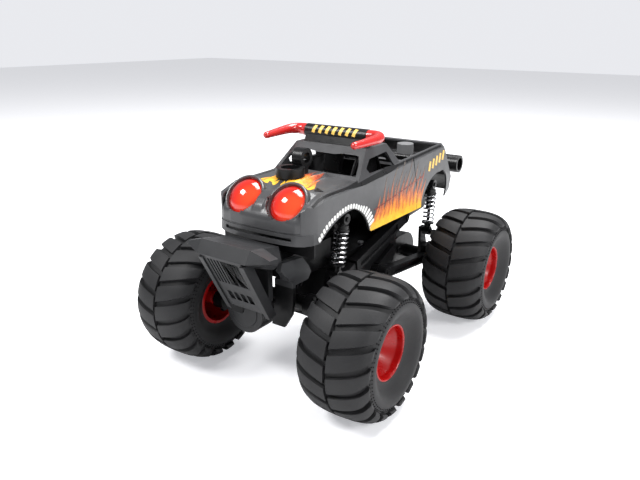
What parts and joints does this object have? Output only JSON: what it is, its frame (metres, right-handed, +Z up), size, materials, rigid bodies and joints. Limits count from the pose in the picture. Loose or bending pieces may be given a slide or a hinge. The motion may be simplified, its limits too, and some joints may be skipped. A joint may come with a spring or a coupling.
{
  "type": "rc monster truck",
  "caption": "Toy off-road truck with balloon tyres, coil-over shocks, swing-arm axles, steering, slotted skid bumper, domed lamps, roof bar with swept ends and open pickup body.",
  "frame": {"origin": "on the ground, on the centreline, midway between the front and rear axles", "axes": "+Z up, -Y is the front of the truck, +X is the truck's left side; the wheels turn about X"},
  "size_m": [0.217, 0.315, 0.1902],
  "materials": {
    "tyre": "matt, soft",
    "rim_red": "glossy",
    "nut_steel": "satin",
    "black_plastic": "satin",
    "frame_grey": "satin",
    "body_dark": "satin",
    "shock_plastic": "satin",
    "spring_steel": "polished",
    "pin_steel": "satin",
    "gear_nylon": "semi matt",
    "brass_bush": "satin",
    "motor_can": "brushed",
    "board_green": "solder mask",
    "battery_wrap": "shrink film",
    "lens_red": "glossy, lit from behind",
    "bar_red": "glossy",
    "cab_black": "satin",
    "tank_grey": "satin"
  },
  "bodies": {
    "chassis": {"chassis_tub": "black_plastic", "chassis_cover": "black_plastic", "shock_towers": "black_plastic", "front_bumper": "frame_grey", "nose_guards": "frame_grey", "battery_pack": "battery_wrap", "circuit_board": "board_green", "cover_screws": "pin_steel", "body_shell": "body_dark", "bonnet": "body_dark", "headlamp_lenses": "lens_red", "headlamp_leds": "lens_red", "front_valance": "body_dark", "bed_liner": "cab_black", "cab_interior": "cab_black", "roof_bar": "cab_black", "roof_bar_ends": "bar_red", "engine_blower": "cab_black", "bed_hoop": "cab_black", "mist_tank": "cab_black", "rear_tube": "cab_black"},
    "front_axle": {"front_axle_case": "black_plastic", "steering_pod_cover": "frame_grey", "steering_motor": "motor_can", "front_swing_arms": "black_plastic", "kingpins": "pin_steel"},
    "knuckle_left": {"knuckle_left": "black_plastic", "hub_nut_front_left": "nut_steel"},
    "knuckle_right": {"knuckle_right": "black_plastic", "hub_nut_front_right": "nut_steel"},
    "front_left_wheel": {"tyre_front_left": "tyre", "rim_front_left": "rim_red"},
    "front_right_wheel": {"tyre_front_right": "tyre", "rim_front_right": "rim_red"},
    "steering_horn": {"steering_horn": "gear_nylon"},
    "steering_pinion": {"steering_pinion": "gear_nylon"},
    "tie_rod": {"tie_rod": "black_plastic"},
    "front_shock_tubes": {"front_shock_tubes": "shock_plastic", "front_springs": "spring_steel"},
    "front_shock_rods": {"front_shock_rods": "shock_plastic"},
    "rear_axle": {"rear_axle_case": "black_plastic", "rear_gearbox_cover": "black_plastic", "rear_swing_arms": "black_plastic", "axle_bushes": "brass_bush", "drive_motor": "motor_can"},
    "rear_wheels": {"tyre_rear_left": "tyre", "tyre_rear_right": "tyre", "rim_rear_left": "rim_red", "rim_rear_right": "rim_red", "rear_axle_shaft": "pin_steel", "axle_gear": "gear_nylon", "hub_nuts_rear": "nut_steel"},
    "compound_gear": {"compound_gear": "gear_nylon"},
    "motor_pinion": {"motor_pinion": "brass_bush"},
    "rear_shock_tubes": {"rear_shock_tubes": "shock_plastic", "rear_springs": "spring_steel"},
    "rear_shock_rods": {"rear_shock_rods": "shock_plastic"},
    "battery_door": {"battery_door": "frame_grey"},
    "power_switch": {"power_switch": "cab_black"},
    "filler_cap": {"filler_cap": "tank_grey"}
  },
  "joints": [
    {"name": "front_axle_swing", "type": "hinge", "parent": "chassis", "child": "front_axle", "pos_m": [0, 0.044, 0.105], "axis": [-1, 0, 0], "range_deg": [-1.6, 3.1], "stiffness_Nm_per_rad": 26},
    {"name": "front_shock_tilt", "type": "hinge", "parent": "chassis", "child": "front_shock_tubes", "pos_m": [0, -0.0576, 0.1282], "axis": [-1, 0, 0], "range_deg": [-1.66, 3.17], "deforming": ["front_springs"]},
    {"name": "front_shock_stroke", "type": "slide", "parent": "front_shock_tubes", "child": "front_shock_rods", "axis": [0, 0.2114, 0.9774], "range_m": [-0.00301, 0.00574]},
    {"name": "steer_left", "type": "hinge", "parent": "front_axle", "child": "knuckle_left", "pos_m": [0.046, -0.0985, 0.071], "axis": [0, 0, 1], "range_deg": [-16, 16]},
    {"name": "steer_right", "type": "hinge", "parent": "front_axle", "child": "knuckle_right", "pos_m": [-0.046, -0.0985, 0.071], "axis": [0, 0, 1], "range_deg": [-16.1, 16.1]},
    {"name": "steering_crank", "type": "hinge", "parent": "front_axle", "child": "steering_horn", "pos_m": [-0.02, -0.0985, 0.058], "axis": [0, 0, 1], "range_deg": [-16.1, 16.1]},
    {"name": "tie_rod_pivot", "type": "hinge", "parent": "steering_horn", "child": "tie_rod", "pos_m": [-0.02, -0.0845, 0.063], "axis": [0, 0, 1], "range_deg": [-16.1, 16.1]},
    {"name": "steering_pinion_spin", "type": "hinge", "parent": "front_axle", "child": "steering_pinion", "pos_m": [-0.028, -0.0985, 0.055], "axis": [0, 0, 1], "range_deg": [-37.53, 37.53]},
    {"name": "front_left_wheel_spin", "type": "hinge", "parent": "knuckle_left", "child": "front_left_wheel", "pos_m": [0.08, -0.0985, 0.0525], "axis": [1, 0, 0], "continuous": true},
    {"name": "front_right_wheel_spin", "type": "hinge", "parent": "knuckle_right", "child": "front_right_wheel", "pos_m": [-0.08, -0.0985, 0.0525], "axis": [1, 0, 0], "continuous": true},
    {"name": "rear_axle_swing", "type": "hinge", "parent": "chassis", "child": "rear_axle", "pos_m": [0, 0.006, 0.064], "axis": [1, 0, 0], "range_deg": [-2.5, 5], "stiffness_Nm_per_rad": 16},
    {"name": "rear_shock_tilt", "type": "hinge", "parent": "chassis", "child": "rear_shock_tubes", "pos_m": [0, 0.0956, 0.1255], "axis": [1, 0, 0], "range_deg": [-2.91, 1.48], "deforming": ["rear_springs"]},
    {"name": "rear_shock_stroke", "type": "slide", "parent": "rear_shock_tubes", "child": "rear_shock_rods", "axis": [0, 0.0789, 0.9969], "range_m": [-0.0037, 0.00731]},
    {"name": "rear_wheels_spin", "type": "hinge", "parent": "rear_axle", "child": "rear_wheels", "pos_m": [0, 0.0985, 0.0525], "axis": [1, 0, 0], "continuous": true},
    {"name": "compound_gear_spin", "type": "hinge", "parent": "rear_axle", "child": "compound_gear", "pos_m": [0.003, 0.0823, 0.05695], "axis": [1, 0, 0], "continuous": true},
    {"name": "motor_pinion_spin", "type": "hinge", "parent": "rear_axle", "child": "motor_pinion", "pos_m": [-0.002, 0.0688, 0.06065], "axis": [1, 0, 0], "continuous": true},
    {"name": "battery_door_hinge", "type": "hinge", "parent": "chassis", "child": "battery_door", "pos_m": [-0.018, -0.009, 0.0388], "axis": [0, 1, 0], "range_deg": [0, 85]},
    {"name": "power_switch_slide", "type": "slide", "parent": "chassis", "child": "power_switch", "axis": [0, 1, 0], "range_m": [0, 0.003]},
    {"name": "filler_cap_lift", "type": "slide", "parent": "chassis", "child": "filler_cap", "axis": [0, 0, 1], "range_m": [0, 0.0028]}
  ],
  "couplings": [
    {"joint": "front_shock_tilt", "follows": "front_axle_swing", "ratio": 1.0068},
    {"joint": "front_shock_stroke", "follows": "front_axle_swing", "m_per_rad": 0.10421},
    {"joint": "steer_right", "follows": "steer_left", "ratio": 1},
    {"joint": "steering_crank", "follows": "steer_left", "ratio": 1},
    {"joint": "tie_rod_pivot", "follows": "steer_left", "ratio": -1},
    {"joint": "steering_pinion_spin", "follows": "steer_left", "ratio": -2.3333},
    {"joint": "rear_shock_tilt", "follows": "rear_axle_swing", "ratio": -0.57279},
    {"joint": "rear_shock_stroke", "follows": "rear_axle_swing", "m_per_rad": 0.08257},
    {"joint": "compound_gear_spin", "follows": "rear_wheels_spin", "ratio": -3},
    {"joint": "motor_pinion_spin", "follows": "rear_wheels_spin", "ratio": 11}
  ]
}
